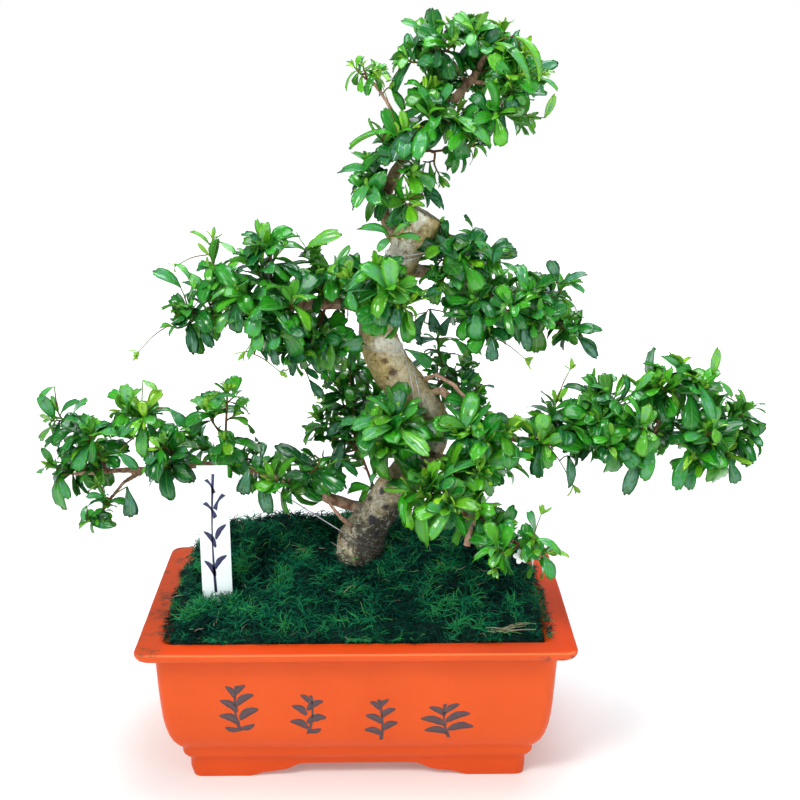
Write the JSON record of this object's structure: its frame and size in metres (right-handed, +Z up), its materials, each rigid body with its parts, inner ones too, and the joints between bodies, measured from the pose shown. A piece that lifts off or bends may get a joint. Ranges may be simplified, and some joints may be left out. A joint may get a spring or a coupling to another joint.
{
  "type": "fukien tea bonsai",
  "caption": "Small-leaved tree with a bent trunk and long level branches, grown on a moss mound in an oblong clay pot with bracket feet, tie wires and a plant label.",
  "frame": {"origin": "centre of the whole tree and pot's plan box, on the surface that the pot's feet stand on", "axes": "+Z up, +X to the right and -Y towards the viewer as the picture shows it; the pot's long side lies along X"},
  "size_m": [0.53, 0.2086, 0.5331],
  "materials": {
    "clay": "semi-gloss orange, painted marks on the front",
    "soil": "dull, crumbly",
    "moss": "dull curly fibres",
    "mesh_plastic": "matte black",
    "label_plastic": "smooth pale blue white",
    "bark": "rough grey-brown bark with dark knots",
    "wire": "dull grey",
    "petal": "soft white",
    "leaf": "glossy dark green, lime at the new tips"
  },
  "bodies": {
    "root": {"pot": "clay", "soil": "soil", "moss": "moss", "drain_mesh_left": "mesh_plastic", "drain_mesh_right": "mesh_plastic", "plant_label": "label_plastic", "trunk_and_branches": "bark", "upper_tie_wire": "wire", "middle_tie_wire": "wire", "bend_tie_wire": "wire", "guy_wire": "wire", "white_flower": "petal", "spray_crown_left_01": "leaf", "spray_crown_right_02": "leaf", "spray_crown_top_left_03": "leaf", "spray_leader_04": "leaf", "spray_leader_05": "leaf", "spray_leader_06": "leaf", "spray_leader_07": "leaf", "spray_leader_08": "leaf", "spray_leader_09": "leaf", "spray_leader_10": "leaf", "spray_leader_11": "leaf", "spray_upper_left_12": "leaf", "spray_upper_left_13": "leaf", "spray_upper_left_14": "leaf", "spray_upper_left_15": "leaf", "spray_upper_left_16": "leaf", "spray_upper_left_17": "leaf", "spray_upper_left_18": "leaf", "spray_upper_left_19": "leaf", "spray_upper_right_20": "leaf", "spray_upper_right_21": "leaf", "spray_upper_right_22": "leaf", "spray_upper_right_23": "leaf", "spray_upper_right_24": "leaf", "spray_lower_left_25": "leaf", "spray_lower_left_26": "leaf", "spray_lower_left_27": "leaf", "spray_lower_left_28": "leaf", "spray_lower_left_29": "leaf", "spray_lower_left_30": "leaf", "spray_lower_left_rise_31": "leaf", "spray_lower_left_drop_32": "leaf", "spray_lower_right_33": "leaf", "spray_lower_right_34": "leaf", "spray_lower_right_35": "leaf", "spray_lower_right_36": "leaf", "spray_lower_right_37": "leaf", "spray_lower_right_38": "leaf", "spray_lower_right_39": "leaf", "spray_lower_right_40": "leaf", "spray_lower_right_rise_41": "leaf", "spray_front_right_42": "leaf", "spray_front_right_43": "leaf", "spray_front_right_44": "leaf", "spray_front_low_45": "leaf", "spray_front_low_46": "leaf", "spray_trunk_47": "leaf", "spray_trunk_48": "leaf"}
  },
  "joints": []
}
